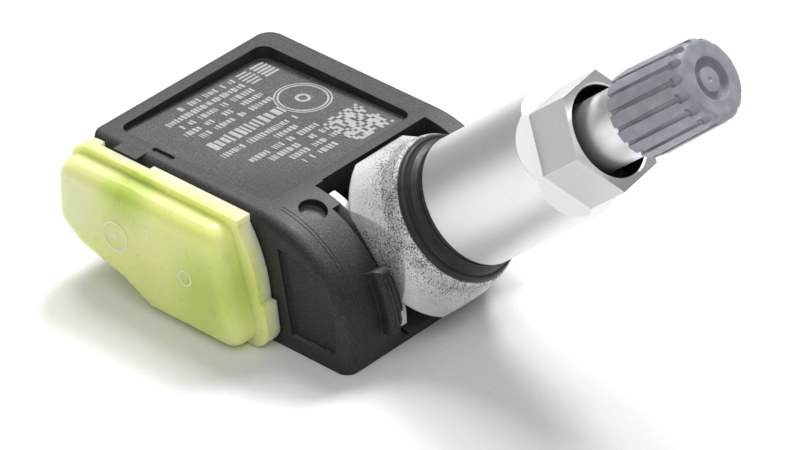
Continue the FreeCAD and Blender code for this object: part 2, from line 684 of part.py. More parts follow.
def valve_collar():
    """The die-cast collar: head, neck, bridge and the two fins that hang on the pin."""
    block = upright_body("head_block", octagon(
        "collar_half_height", "collar_half_width", "collar_cut"), "collar_back", "collar_front")
    round_edges(block, "edge_round", lambda edge: edge.BoundBox.ZLength > 1)
    crown = turned("head_crown", [
        ("0", "collar_back"), ("crown_back - edge_round", "collar_back"),
        ("crown_back", "collar_back + edge_round", "edge_round"),
        ("crown_middle", "crown_waist"), ("crown_front", "collar_front - edge_round"),
        ("crown_front - edge_round / 2", "collar_front"), ("0", "collar_front")])
    neck = cylinder("head_neck", "neck_radius", "collar_back - neck_back + wall",
                    ("0", "0", "neck_back"))
    groove = cut("ring_groove", cylinder(
        "groove_outer", "ring_groove_radius + ring_wire + ring_room", "1",
        ("0", "0", "seat_floor - 2 * ring_wire")),
        [cylinder("groove_inner", "ring_groove_radius - ring_wire - ring_room", "2",
                  ("0", "0", "seat_floor - 3 * ring_wire"))])
    bores = joined("head_bores", [
        cylinder("spigot_bore", "spigot_radius", "collar_front", ("0", "0", "neck_back - wall")),
        cylinder("grommet_seat", "seat_radius", "collar_front", ("0", "0", "seat_floor")),
        groove])
    head = joined("head_solid", [common("head_faced", [block, crown]), neck])
    on_valve(head)
    on_valve(bores)
    low = "valve_elevation - bridge_half_angle"
    high = "valve_elevation + bridge_half_angle"
    bridge = cut("bridge", swivel_sector("bridge_sweep", "bridge_outer", low, high,
                                         "-fin_left", "fin_right + fin_thick"),
                 [swivel_disc("bridge_core", "bridge_inner", "-fin_left - 1", "fin_right + 2")])
    fins = []
    for name, left in (("left_fin", "-fin_left"), ("right_fin", "fin_right")):
        right = f"{left} + fin_thick"
        fins.append(swivel_sector(name, "fin_radius", "fin_low", "fin_high", left, right))
        fins.append(swivel_disc(f"{name}_hub", "hub_radius", left, right))
    pin_bore = swivel_disc("fin_bore", "pin_radius + pin_gap", "-fin_left - 1", "fin_right + 2")
    casting = joined("casting", [head, bridge] + fins)
    return cut("valve_collar", casting, [bores, pin_bore])


def swivel_pin():
    """The cross pin that the collar's fins turn on, pressed into the housing."""
    return cylinder("swivel_pin", "pin_radius", "pin_left + pin_right",
                    ("0", "pin_right", "cradle_height"), ALONG_Y)


# ---------------------------------------------------------------- valve

def valve_pieces():
    """The turned pieces of the valve that stay put on the collar."""
    stem = turned("valve_stem", [
        ("stem_bore", "neck_back + 1"), ("spigot_radius", "neck_back + 1"),
        ("spigot_radius", "seat_floor"), ("flange_radius", "seat_floor"),
        ("flange_radius", "flange_top"), ("shank_radius", "flange_top"),
        ("shank_radius", "shank_top - stem_chamfer"), ("thread_radius", "shank_top"),
        ("thread_radius", "stem_top - stem_chamfer"), ("thread_radius - stem_chamfer", "stem_top"),
        ("core_radius", "stem_top"), ("core_radius", "core_floor"), ("stem_bore", "core_floor")])
    ring = doc.addObject("Part::Torus", "stem_o_ring")
    ring.setExpression("Radius1", bound("ring_groove_radius"))
    ring.setExpression("Radius2", bound("ring_wire"))
    grommet = turned("rubber_grommet", [
        ("shank_radius", "flange_top"), ("seat_radius", "flange_top"),
        ("seat_radius", "grommet_band - grommet_round"),
        ("seat_radius - grommet_round", "grommet_band", "grommet_round"),
        ("grommet_neck + grommet_lip / 2", "grommet_band"),
        ("grommet_neck", "grommet_band + grommet_lip"),
        ("grommet_neck", "grommet_band + 2 * grommet_lip"),
        ("grommet_neck - grommet_round", "grommet_top - grommet_lip"),
        ("grommet_neck - grommet_round", "grommet_top"), ("shank_radius", "grommet_top")])
    body = turned("valve_core_body", [
        ("core_hole", "core_bottom"), ("core_radius", "core_bottom"),
        ("core_radius", "core_top"), ("core_mouth", "core_top"),
        ("core_mouth", "core_top - core_dish"), ("core_hole", "core_top - core_dish")])
    seal = turned("valve_core_seal", ring_profile("seal_hole", "core_radius",
                                                  "core_bottom - seal_thick", "core_bottom"))
    pieces = [stem, grommet, body, seal]
    for piece in pieces:
        on_valve(piece)
    on_valve(ring)
    ring.Placement = ring.Placement * Placement(
        Vector(0, 0, size("seat_floor") - size("ring_wire")), Rotation())
    return pieces + [ring]


def core_pin_pieces():
    """The spring-loaded pin of the valve core, its plunger and its spring."""
    pin = turned("valve_core_pin", [
        ("0", "core_pin_bottom"), ("core_pin_radius", "core_pin_bottom"),
        ("core_pin_radius", "core_pin_neck"), ("core_pin_head", "core_pin_neck"),
        ("core_pin_head", "core_pin_top"), ("0", "core_pin_top")])
    plunger = turned("valve_core_plunger", ring_profile(
        "core_pin_radius", "plunger_radius", "plunger_bottom", "plunger_top"))
    spring = new_body("valve_core_spring")
    sketch = new_sketch(spring, "XZ_Plane", "spring_wire_outline")
    draw_circle(sketch, "spring_radius", "spring_bottom", "spring_wire")
    coil = spring.newObject("PartDesign::AdditiveHelix", "spring_coil")
    coil.Profile = sketch
    coil.ReferenceAxis = (sketch, ["V_Axis"])
    coil.Mode = "pitch-turns-angle"
    coil.setExpression("Pitch", bound("spring_pitch"))
    coil.setExpression("Turns", bound("spring_turns"))
    sketch.Visibility = False
    for piece in (pin, plunger, spring):
        on_valve(piece)
    return [pin, plunger, spring]


def nut_pieces():
    """The captive washer and the nut: a sleeve with six flats milled into its outer end."""
    washer = turned("nut_washer", ring_profile(
        "shank_radius + nut_gap", "washer_radius", "grommet_top", "nut_base"))
    nut = turned("hex_nut", [
        ("shank_radius + nut_gap", "nut_base"), ("nut_radius - nut_edge", "nut_base"),
        ("nut_radius", "nut_base + nut_edge"), ("nut_radius", "nut_top - nut_chamfer"),
        ("nut_radius - nut_chamfer", "nut_top"), ("counterbore_radius + nut_edge", "nut_top"),
        ("counterbore_radius", "nut_top - nut_edge"), ("counterbore_radius", "counterbore_floor"),
        ("shank_radius + nut_gap", "counterbore_floor")])
    sketch = new_sketch(nut, "XZ_Plane", "flat_outline")
    draw_outline(sketch, [
        ("hex_flat", "hex_floor"), ("nut_radius + 1", "hex_floor - nut_radius - 1 + hex_flat"),
        ("nut_radius + 1", "nut_top + 1"), ("hex_flat", "nut_top + 1")])
    flat = nut.newObject("PartDesign::Pocket", "hex_flat_cut")
    flat.Profile = sketch
    flat.Type = "ThroughAll"
    flat.Midplane = True
    sketch.Visibility = False
    flats = nut.newObject("PartDesign::PolarPattern", "hex_flats")
    flats.Originals = [flat]
    flats.Axis = (sketch, ["V_Axis"])
    flats.Angle = 360
    flats.Occurrences = int(size("hex_sides"))
    nut.Tip = flats
    on_valve(washer)
    on_valve(nut)
    nut.Placement = nut.Placement * Placement(Vector(), Rotation(Vector(0, 0, 1),
                                                                 size("hex_turn")))
    return [washer, nut]


def cut_flutes(cap, name, centre, radius, base):
    """A ring of grooves down the cap's side, from a height to its end."""
    sketch = new_sketch(cap, "XY_Plane", f"{name}_outline", base)
    draw_circle(sketch, centre, "0", radius)
    groove = cap.newObject("PartDesign::Pocket", f"{name}_cut")
    groove.Profile = sketch
    groove.Reversed = True
    groove.setExpression("Length", bound(f"cap_top + 1 - ({base})"))
    sketch.Visibility = False
    ring = cap.newObject("PartDesign::PolarPattern", f"{name}_ring")
    ring.Originals = [groove]
    ring.Axis = (sketch, ["N_Axis"])
    ring.Angle = 360
    ring.Occurrences = int(size("cap_flutes"))
    cap.Tip = ring


def cap_pieces():
    """The fluted plastic cap and the gasket in its crown."""
    gasket = turned("cap_gasket", ring_profile("gasket_bore", "thread_radius", "gasket_bottom",
                                               "cap_ceiling - gasket_gap"))
    well_floor = "cap_top - cap_well_depth"
    disc_top = f"{well_floor} + cap_disc_rise"
    skirt_radius = "cap_radius - cap_step"
    relief = "shank_top + cap_relief"
    cap = turned("valve_cap", [
        ("shank_radius + nut_gap", "cap_base"), (skirt_radius, "cap_base"),
        (skirt_radius, "cap_base + cap_skirt"), ("cap_radius", "cap_base + cap_skirt + cap_step"),
        ("cap_end_radius", "cap_top - cap_round"),
        ("cap_end_radius - cap_round", "cap_top", "cap_round"),
        ("cap_well_radius", "cap_top"), ("cap_well_radius - cap_step", well_floor),
        ("cap_disc_radius", well_floor), ("cap_disc_radius - cap_step", disc_top),
        ("cap_dot_radius", disc_top), ("0", f"{disc_top} - cap_dot_depth"), ("0", "cap_ceiling"),
        ("thread_radius + nut_gap", "cap_ceiling"), ("thread_radius + nut_gap", relief),
        ("shank_radius + nut_gap", relief)])
    cut_flutes(cap, "flute", "flute_centre", "flute_radius", "cap_base - 1")
    cut_flutes(cap, "knuckle", "knuckle_centre", "knuckle_radius", "cap_top - knuckle_length")
    on_valve(gasket)
    on_valve(cap)
    return [gasket, cap]


# ---------------------------------------------------------------- build, check and write

pieces = [housing(), end_lid(), swivel_pin(), valve_collar()]
pieces += electronics() + valve_pieces() + core_pin_pieces() + nut_pieces() + cap_pieces()
doc.recompute()

failed = [item.Name for item in doc.Objects if {"Invalid", "Error"} & set(item.State)]
if failed:
    raise SystemExit(f"these did not build: {failed}")
os.makedirs("parts", exist_ok=True)
for piece in pieces:
    shape = piece.Shape
    if shape.isNull() or not shape.isValid() or not shape.Solids:
        raise SystemExit(f"{piece.Label} has no valid solid")
    shape.exportStep(os.path.join("parts", f"{piece.Label}.step"))
    print(piece.Label, len(shape.Solids), round(shape.Volume, 2))
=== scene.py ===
import json
import math
import random

import bmesh
import bpy
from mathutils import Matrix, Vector
from mathutils.bvhtree import BVHTree


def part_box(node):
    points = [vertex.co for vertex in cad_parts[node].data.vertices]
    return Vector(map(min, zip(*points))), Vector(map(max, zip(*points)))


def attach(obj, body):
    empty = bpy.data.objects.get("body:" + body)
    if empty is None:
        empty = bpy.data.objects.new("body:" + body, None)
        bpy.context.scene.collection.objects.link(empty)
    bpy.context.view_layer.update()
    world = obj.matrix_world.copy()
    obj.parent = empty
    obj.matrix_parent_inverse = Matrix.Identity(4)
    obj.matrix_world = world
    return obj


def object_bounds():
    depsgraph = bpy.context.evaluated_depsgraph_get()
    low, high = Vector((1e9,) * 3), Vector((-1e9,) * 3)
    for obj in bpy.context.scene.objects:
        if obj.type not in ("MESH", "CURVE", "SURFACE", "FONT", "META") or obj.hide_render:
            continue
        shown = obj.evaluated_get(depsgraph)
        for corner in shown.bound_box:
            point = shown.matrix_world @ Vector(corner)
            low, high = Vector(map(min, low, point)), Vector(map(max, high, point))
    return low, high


# Looks for the tire pressure monitor: materials for every CAD node, the laser marks,
# moulding lines and gate rings that the CAD leaves out, and the studio.
# Metres, in the CAD frame: +X to the valve, -Y to the lid, +Z up.

MM = 0.001
LIFT = 0.02 * MM                      # how far a printed mark stands off its surface

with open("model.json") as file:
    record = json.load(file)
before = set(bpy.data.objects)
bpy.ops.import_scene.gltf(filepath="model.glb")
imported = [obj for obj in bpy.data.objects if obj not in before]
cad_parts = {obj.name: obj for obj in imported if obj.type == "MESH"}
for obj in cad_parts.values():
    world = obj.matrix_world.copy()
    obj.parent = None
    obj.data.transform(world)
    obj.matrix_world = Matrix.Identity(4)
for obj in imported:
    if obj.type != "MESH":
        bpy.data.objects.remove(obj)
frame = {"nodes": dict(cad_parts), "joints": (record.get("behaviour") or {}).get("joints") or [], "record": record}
CAD_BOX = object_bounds()
NODES = frame["nodes"]
JOINTS = {joint["name"]: joint for joint in frame["joints"]}
HOUSING_LOW, HOUSING_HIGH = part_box("housing")
LID_LOW, LID_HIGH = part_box("end_lid")
SWIVEL = Vector(JOINTS["valve_swivel"]["pos_m"])
VALVE_AXIS = Vector(JOINTS["nut_turn"]["axis"]).normalized()
VALVE_START = Vector(JOINTS["nut_turn"]["pos_m"])
CRADLE_RADIUS = HOUSING_HIGH.z - SWIVEL.z
ABOVE = HOUSING_HIGH.z + MM           # where the rays that lay marks on the top start
BORE_LOW = 4.3 * MM                   # from the stem's surface to the wall of the nut's mouth, the band painted dark as shade
BORE_HIGH = 5.6 * MM
BORE_BLEND = 0.12 * MM


# ---------------------------------------------------------------- node helpers

def add(tree, kind, inputs=None, **settings):
    """A shader node with its settings, and its inputs set or linked."""
    node = tree.nodes.new(f"ShaderNode{kind}")
    for name, value in settings.items():
        setattr(node, name, value)
    for socket, value in (inputs or {}).items():
        if isinstance(value, bpy.types.NodeSocket):
            tree.links.new(value, node.inputs[socket])
        else:
            node.inputs[socket].default_value = value
    return node


def new_material(name, **sockets):
    """A Principled material: its tree and shader.  Socket names use _ for a space."""
    material = bpy.data.materials.new(name)
    material.use_nodes = True
    tree = material.node_tree
    shader = tree.nodes["Principled BSDF"]
    for socket, value in sockets.items():
        shader.inputs[socket.replace("_", " ")].default_value = value
    return material, tree, shader


def wire(tree, shader, **sockets):
    """Links node outputs into the shader."""
    for socket, output in sockets.items():
        tree.links.new(output, shader.inputs[socket.replace("_", " ")])


def place(tree):
    """The point being shaded, in the CAD frame at rest."""
    return add(tree, "TexCoord").outputs["Object"]


def noise(tree, grain, detail=2.0, roughness=0.5, where=None):
    """Soft noise whose grains are about so many metres across."""
    return add(tree, "TexNoise", {"Vector": where or place(tree), "Scale": 1 / grain,
                                  "Detail": detail, "Roughness": roughness}).outputs["Fac"]


def math_node(tree, operation, first, second=0.0, clamp=False):
    """One sum on two values."""
    return add(tree, "Math", {0: first, 1: second}, operation=operation,
               use_clamp=clamp).outputs[0]


def vector_node(tree, operation, first, second=(0.0, 0.0, 0.0), output="Vector"):
    """One sum on two vectors."""
    return add(tree, "VectorMath", {0: first, 1: second}, operation=operation).outputs[output]


def ramp(tree, value, *stops):
    """Colours along a value.  A stop is (position, colour), and a grey is one number."""
    node = add(tree, "ValToRGB", {"Fac": value})
    elements = node.color_ramp.elements
    while len(elements) < len(stops):
        elements.new(0.5)
    for element, (position, colour) in zip(elements, stops):
        shade = colour if isinstance(colour, tuple) else (colour,) * 3
        element.position = position
        element.color = (*shade, 1.0)
    return node.outputs["Color"]


def blend(tree, share, first, second, kind="MIX"):
    """Two colours mixed by a share."""
    node = add(tree, "Mix", data_type="RGBA", blend_type=kind)
    for index, value in ((0, share), (6, first), (7, second)):
        if isinstance(value, bpy.types.NodeSocket):
            tree.links.new(value, node.inputs[index])
        elif isinstance(value, tuple):
            node.inputs[index].default_value = (*value, 1.0)
        else:
            node.inputs[index].default_value = value
    return node.outputs[2]


def between(tree, value, low, high, start=0.0, end=1.0):
    """A value's place between two others, smoothly stretched to a new range."""
    return add(tree, "MapRange", {"Value": value, "From Min": low, "From Max": high,
                                  "To Min": start, "To Max": end},
               interpolation_type="SMOOTHSTEP").outputs["Result"]


def soft_edges(tree, radius):
    """The surface's normal with its sharp edges rounded off."""
    return add(tree, "Bevel", {"Radius": radius}, samples=4).outputs["Normal"]


def edge_share(tree, radius):
    """One along the piece's edges and nought on its faces."""
    normal = add(tree, "NewGeometry").outputs["Normal"]
    likeness = vector_node(tree, "DOT_PRODUCT", soft_edges(tree, radius), normal, "Value")
    return between(tree, likeness, 0.995, 0.85)


def bump(tree, height, depth, normal=None):
    """A normal with so many metres of relief."""
    inputs = {"Height": height, "Distance": depth, "Strength": 1.0}
    if normal:
        inputs["Normal"] = normal
    return add(tree, "Bump", inputs).outputs["Normal"]


def along_valve(tree):
    """How far along the valve's axis the point lies."""
    offset = vector_node(tree, "SUBTRACT", place(tree), tuple(VALVE_START))
    return vector_node(tree, "DOT_PRODUCT", offset, tuple(VALVE_AXIS), "Value")


def off_valve(tree):
    """How far from the valve's axis the point lies."""
    offset = vector_node(tree, "SUBTRACT", place(tree), tuple(VALVE_START))
    across = vector_node(tree, "CROSS_PRODUCT", offset, tuple(VALVE_AXIS))
    return vector_node(tree, "LENGTH", across, output="Value")


def turned_lines(tree, pitch):
    """Fine lathe lines round the valve's axis."""
    steps = math_node(tree, "DIVIDE", along_valve(tree), pitch)
    return add(tree, "TexNoise", {"W": steps, "Scale": 1.0, "Detail": 2.0},
               noise_dimensions="1D").outputs["Fac"]


def soft_spot(tree, centre, radius):
    """One at a point, fading to nought at a radius."""
    away = vector_node(tree, "DISTANCE", place(tree), tuple(centre), "Value")
    return between(tree, away, radius, 0.0)


# ---------------------------------------------------------------- materials

def housing_look():
    """Glass-filled nylon: near black, with a fine pale grain; a painted sheen makes it paler where it faces up,
    most below the rim, and its paler edges are partly wear and partly painted highlight.
    """
    material, tree, shader = new_material("housing_plastic", Specular_IOR_Level=0.42)
    grain = noise(tree, 0.16 * MM, 3.0, 0.65)
    cloud = noise(tree, 6 * MM, 2.0)
    body = ramp(tree, grain, (0.35, 0.010), (0.52, 0.020), (0.70, 0.062))
    # Painted sheen: faces that point up are blended to a paler grey, most of all in the pocket below the top rim.
    upward = add(tree, "SeparateXYZ", {0: add(tree, "NewGeometry").outputs["Normal"]})
    point = add(tree, "SeparateXYZ", {0: place(tree)})
    rim = HOUSING_HIGH.z - 0.2 * MM
    sunk = between(tree, point.outputs["Z"], rim, rim - 0.4 * MM, 0.35, 1.0)
    painted_sheen_share = math_node(tree, "MULTIPLY", between(tree, upward.outputs["Z"], 0.6, 1.0), sunk)
    dust_and_painted_sheen = ramp(tree, grain, (0.32, (0.042, 0.043, 0.040)), (0.52, (0.080, 0.083, 0.077)),
                (0.68, (0.20, 0.205, 0.195)))
    shaded = blend(tree, 1.0, blend(tree, painted_sheen_share, body, dust_and_painted_sheen),
                   ramp(tree, cloud, (0.3, 0.80), (0.7, 1.08)), "MULTIPLY")
    # Paler edges: partly wear and partly a painted highlight on the rounded edges.
    wear_and_painted_highlight = math_node(tree, "MULTIPLY", edge_share(tree, 0.25 * MM), 0.35)
    wire(tree, shader,
         Base_Color=blend(tree, wear_and_painted_highlight, shaded, (0.11, 0.11, 0.108)),
         Roughness=ramp(tree, cloud, (0.3, 0.46), (0.7, 0.60)),
         Normal=bump(tree, grain, 0.022 * MM, soft_edges(tree, 0.18 * MM)))
    return material


def lid_look():
    """Translucent yellow-green moulding: paler at its thin rims, greener where it is deep."""
    material, tree, shader = new_material(
        "lid_plastic", IOR=1.5, Subsurface_Weight=0.8,
        Subsurface_Radius=(2.2 * MM, 2.4 * MM, 0.7 * MM), Subsurface_Scale=1.0,
        Specular_IOR_Level=0.45)
    span = LID_HIGH - LID_LOW

    def spot(x_share, z_share, radius):
        centre = LID_LOW + Vector((span.x * x_share, span.y * 0.2, span.z * z_share))
        return soft_spot(tree, centre, radius)

    cloud = noise(tree, 9 * MM, 1.0, 0.4)
    body = ramp(tree, cloud, (0.30, (0.74, 0.83, 0.26)), (0.52, (0.82, 0.88, 0.33)),
                (0.72, (0.88, 0.91, 0.42)))
    dark = math_node(tree, "MAXIMUM", spot(0.80, 0.45, 8 * MM), spot(0.36, 0.86, 6 * MM))
    greened = blend(tree, math_node(tree, "MULTIPLY", dark, 0.8), body, (0.44, 0.60, 0.07))
    frosted = blend(tree, math_node(tree, "MULTIPLY", spot(0.04, 0.6, 9 * MM), 0.6), greened,
                    (0.86, 0.90, 0.66))
    point = add(tree, "SeparateXYZ", {0: place(tree)})
    rim = between(tree, point.outputs["Y"], LID_LOW.y + span.y * 0.55, LID_LOW.y + span.y * 0.85)
    pale = blend(tree, math_node(tree, "MULTIPLY", rim, 0.6), frosted, (0.86, 0.91, 0.64))
    wire(tree, shader,
         Base_Color=pale,
         Roughness=ramp(tree, noise(tree, 2 * MM), (0.3, 0.26), (0.7, 0.34)),
         Normal=bump(tree, noise(tree, 2.5 * MM, 0.0), 0.006 * MM))
    return material


def cast_look():
    """Blasted die casting: near white, with dark specks thickest round the grommet's seat."""
    material, tree, shader = new_material("cast_metal", Metallic=0.45)
    speck = noise(tree, 0.18 * MM, 3.0, 0.7)
    seat = between(tree, off_valve(tree), 11.0 * MM, 8.6 * MM)
    patchy = noise(tree, 1.8 * MM, 2.0)
    density = math_node(tree, "MULTIPLY", seat, patchy)
    level = math_node(tree, "ADD", speck, math_node(tree, "MULTIPLY", density, 0.36))
    body = ramp(tree, noise(tree, 3 * MM), (0.3, 0.64), (0.7, 0.80))
    wire(tree, shader,
         Base_Color=blend(tree, between(tree, level, 0.64, 0.70), body, (0.15, 0.15, 0.14)),
         Roughness=ramp(tree, speck, (0.3, 0.42), (0.7, 0.62)),
         Normal=bump(tree, speck, 0.05 * MM, soft_edges(tree, 0.25 * MM)))
    return material


def turned_look(name, colour, roughness, pitch):
    """Turned aluminium: satin, with lathe lines round its axis, and painted shade, near black, in the nut's mouth.
    """
    material, tree, shader = new_material(name, Metallic=0.82)
    lines = turned_lines(tree, pitch)
    grain = noise(tree, 0.25 * MM, 2.0)
    low, high = (tuple(share * shade for shade in colour) for share in (0.94, 1.0))
    both = math_node(tree, "ADD", lines, math_node(tree, "MULTIPLY", grain, 0.5))
    away = off_valve(tree)
    # Painted shade: the nut's mouth, between the stem and the mouth's wall, is coloured near black.
    painted_mouth_shade = math_node(tree, "MULTIPLY", between(tree, away, BORE_LOW, BORE_LOW + BORE_BLEND),
                      between(tree, away, BORE_HIGH, BORE_HIGH - BORE_BLEND))
    wire(tree, shader,
         Base_Color=blend(tree, painted_mouth_shade, ramp(tree, lines, (0.3, low), (0.7, high)),
                          (0.02, 0.02, 0.02)),
         Roughness=ramp(tree, grain, (0.3, roughness - 0.05), (0.7, roughness + 0.06)),
         Normal=bump(tree, both, 0.004 * MM, soft_edges(tree, 0.12 * MM)))
    return material


def rubber_look():
    """Moulded black rubber with a faint bloom and a few dust specks."""
    material, tree, shader = new_material("black_rubber", Sheen_Weight=0.15,
                                          Specular_IOR_Level=0.4)
    dust_and_painted_sheen = noise(tree, 0.22 * MM, 1.0)
    bloom = ramp(tree, noise(tree, 1.5 * MM), (0.3, 0.006), (0.7, 0.014))
    wire(tree, shader,
         Base_Color=blend(tree, between(tree, dust_and_painted_sheen, 0.80, 0.84), bloom, (0.45, 0.45, 0.44)),
         Roughness=ramp(tree, noise(tree, 0.8 * MM), (0.3, 0.38), (0.7, 0.55)),
         Normal=bump(tree, noise(tree, 0.3 * MM, 3.0), 0.010 * MM))
    return material


def cap_look():
    """Grey moulded plastic with a cool, slightly mottled skin."""
    material, tree, shader = new_material("cap_plastic", Specular_IOR_Level=0.5)
    grain = noise(tree, 0.3 * MM, 3.0, 0.6)
    mottle = noise(tree, 1.6 * MM, 2.0)
    body = ramp(tree, mottle, (0.3, (0.26, 0.272, 0.305)), (0.7, (0.35, 0.362, 0.40)))
    # Paler edges: partly wear and partly a painted highlight on the rounded edges.
    wear_and_painted_highlight = math_node(tree, "MULTIPLY", edge_share(tree, 0.15 * MM), 0.4)
    wire(tree, shader,
         Base_Color=blend(tree, wear_and_painted_highlight, body, (0.52, 0.53, 0.56)),
         Roughness=ramp(tree, grain, (0.3, 0.38), (0.7, 0.55)),
         Normal=bump(tree, grain, 0.018 * MM, soft_edges(tree, 0.12 * MM)))
    return material


def plain_look(name, dark, light, grain, relief, roughness=0.5, metallic=0.0):
    """A small inner part's finish: two shades, a grain and its relief."""
    material, tree, shader = new_material(name, Metallic=metallic)
    pattern = noise(tree, grain, 3.0)
    wire(tree, shader,
         Base_Color=ramp(tree, pattern, (0.3, dark), (0.7, light)),
         Roughness=ramp(tree, pattern, (0.3, roughness - 0.06), (0.7, roughness + 0.08)),
         Normal=bump(tree, pattern, relief))
    return material


def winding_look():
    """Enamelled copper wire wound round the coil's core."""
    material, tree, shader = new_material("copper", Metallic=0.9, Roughness=0.3)
    bands = add(tree, "TexWave", {"Vector": place(tree), "Scale": 1 / (0.9 * MM)},
                bands_direction="X").outputs["Fac"]
    wire(tree, shader,
         Base_Color=ramp(tree, bands, (0.1, (0.30, 0.12, 0.05)), (0.8, (0.78, 0.40, 0.20))),
         Normal=bump(tree, bands, 0.06 * MM))
    return material


def marks_look():
    """Laser marking: pale grey, broken up by the plastic's own grain."""
    material, tree, shader = new_material("laser_marks", Specular_IOR_Level=0.3)
    grain = noise(tree, 0.13 * MM, 3.0, 0.7)
    wire(tree, shader,
         Base_Color=ramp(tree, grain, (0.34, 0.18), (0.48, 0.46), (0.75, 0.62)),
         Roughness=ramp(tree, grain, (0.3, 0.55), (0.7, 0.75)),
         Normal=bump(tree, grain, 0.02 * MM))
    return material


def floor_look():
    """Pale studio paper."""
    material, tree, shader = new_material("studio_paper", Specular_IOR_Level=0.1)
    fibre = noise(tree, 0.8 * MM, 3.0)
    wire(tree, shader,
         Base_Color=ramp(tree, fibre, (0.3, 0.89), (0.7, 0.91)),
         Roughness=ramp(tree, fibre, (0.3, 0.85), (0.7, 0.92)))
    return material


def dress_nodes():
    """Every CAD node gets the finish that its record slot names."""
    steel = dict(dark=(0.45, 0.45, 0.45), light=(0.62, 0.62, 0.61), metallic=1.0)
    looks = {
        "housing_plastic": housing_look(),
        "lid_plastic": lid_look(),
        "cast_metal": cast_look(),
        "satin_aluminium": turned_look("satin_aluminium", (0.86, 0.86, 0.87), 0.36, 0.12 * MM),
        "black_rubber": rubber_look(),
        "cap_plastic": cap_look(),
        "washer_plastic": plain_look("washer_plastic", (0.02,) * 3, (0.04,) * 3, 0.4 * MM,
                                     0.01 * MM),
        "pin_steel": plain_look("pin_steel", grain=0.2 * MM, relief=0.002 * MM,
                                roughness=0.28, **steel),
        "battery_steel": plain_look("battery_steel", grain=0.5 * MM, relief=0.004 * MM,
                                    roughness=0.32, **steel),
        "board_laminate": plain_look("board_laminate", (0.02, 0.12, 0.05), (0.04, 0.20, 0.09),
                                     1.2 * MM, 0.01 * MM, 0.35),
        "chip_black": plain_look("chip_black", (0.015,) * 3, (0.035,) * 3, 0.15 * MM,
                                 0.006 * MM),
        "capacitor_tan": plain_look("capacitor_tan", (0.36, 0.26, 0.16), (0.50, 0.38, 0.25),
                                    0.3 * MM, 0.004 * MM),
        "ferrite": plain_look("ferrite", (0.05,) * 3, (0.10,) * 3, 0.1 * MM, 0.01 * MM, 0.65),
        "copper": winding_look(),
        "membrane": plain_look("membrane", (0.72,) * 3, (0.84,) * 3, 0.1 * MM, 0.01 * MM, 0.8),
        "core_brass": plain_look("core_brass", (0.62, 0.44, 0.16), (0.78, 0.60, 0.27), 0.3 * MM,
                                 0.003 * MM, 0.3, 1.0),
    }
    for part in frame["record"]["subparts"]:
        mesh = NODES[part["node"]].data
        mesh.materials.clear()
        mesh.materials.append(looks[part["material_slot"]])
    return looks


# ---------------------------------------------------------------- mesh helpers

def surface_of(node):
    """A CAD node's surface, to drop marks onto."""
    mesh = NODES[node].data
    return BVHTree.FromPolygons([vertex.co.copy() for vertex in mesh.vertices],
                                [tuple(face.vertices) for face in mesh.polygons])


def landing(tree, point, direction):
    """Where a ray first meets a surface, lifted off it a little."""
    hit, normal, _, _ = tree.ray_cast(Vector(point), Vector(direction))
    return hit + normal * LIFT if hit else None


def finish_piece(name, shape, material, body, thick=0.0):
    """A mesh made into a piece that rides on a body."""
    mesh = bpy.data.meshes.new(name)
    shape.to_mesh(mesh)
    shape.free()
    mesh.materials.append(material)
    piece = bpy.data.objects.new(name, mesh)
    bpy.context.scene.collection.objects.link(piece)
    if thick:
        solid = piece.modifiers.new("thickness", "SOLIDIFY")
        solid.thickness = thick
        solid.offset = 1.0
    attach(piece, body)
    return piece


def add_patch(shape, tree, centre, size):
    """A small rectangle laid on the housing's top.  Centre and size are in X and Y."""
    corners = []
    for across, along in ((-0.5, -0.5), (0.5, -0.5), (0.5, 0.5), (-0.5, 0.5)):
        start = (centre[0] + across * size[0], centre[1] + along * size[1], ABOVE)
        spot = landing(tree, start, (0, 0, -1))
        if spot is None:
            return
        corners.append(shape.verts.new(spot))
    shape.faces.new(corners)


def add_ring(shape, tree, centre, inner, outer, facing="top", steps=48):
    """A flat ring laid on a surface, on the housing's top or the lid's front."""
    rows = []
    for radius in (inner, outer):
        row = []
        for step in range(steps):
            angle = 2 * math.pi * step / steps
            across = centre[0] + radius * math.cos(angle)
            along = centre[1] + radius * math.sin(angle)
            if facing == "top":
                spot = landing(tree, (across, along, ABOVE), (0, 0, -1))
            else:
                spot = landing(tree, (across, LID_LOW.y - MM, along), (0, 1, 0))
            row.append(shape.verts.new(spot))
        rows.append(row)
    for step in range(steps):
        after = (step + 1) % steps
        shape.faces.new((rows[0][step], rows[1][step], rows[1][after], rows[0][after]))


# ---------------------------------------------------------------- label marks

PAD_LEFT = HOUSING_LOW.x + 3.55 * MM   # first mark row, by the tail
ROW_PITCH = 1.52 * MM
ROW_HEIGHT = 0.95 * MM
STROKE = 0.42 * MM
STROKE_GAP = 0.17 * MM
WORD_GAP_SHARE = 0.11                 # how many strokes in a row are left out
CHECKER_SHARE = 0.55                  # how many cells of the square patch are marked
STRIPE_PITCH = 0.62 * MM


def add_mark_row(shape, tree, x, height, start, length, rng):
    """One row of plain upright strokes with word-like gaps: a stand-in for print."""
    y = start
    while y > start - length:
        if rng.random() < WORD_GAP_SHARE:
            y -= 2 * STROKE
            continue
        width = STROKE * rng.choice((0.45, 0.75, 0.75, 1.0)) * height / ROW_HEIGHT
        tall = height * rng.choice((1.0, 1.0, 0.8))
        add_patch(shape, tree, (x, y), (tall, width))
        y -= width + STROKE_GAP * height / ROW_HEIGHT


def add_checker(shape, tree, corner, cells, cell, rng):
    """A patch of square cells, about half of them marked."""
    for row in range(cells):
        for column in range(cells):
            if rng.random() < CHECKER_SHARE:
                spot = (corner[0] + (row + 0.5) * cell, corner[1] + (column + 0.5) * cell)
                add_patch(shape, tree, spot, (cell, cell))


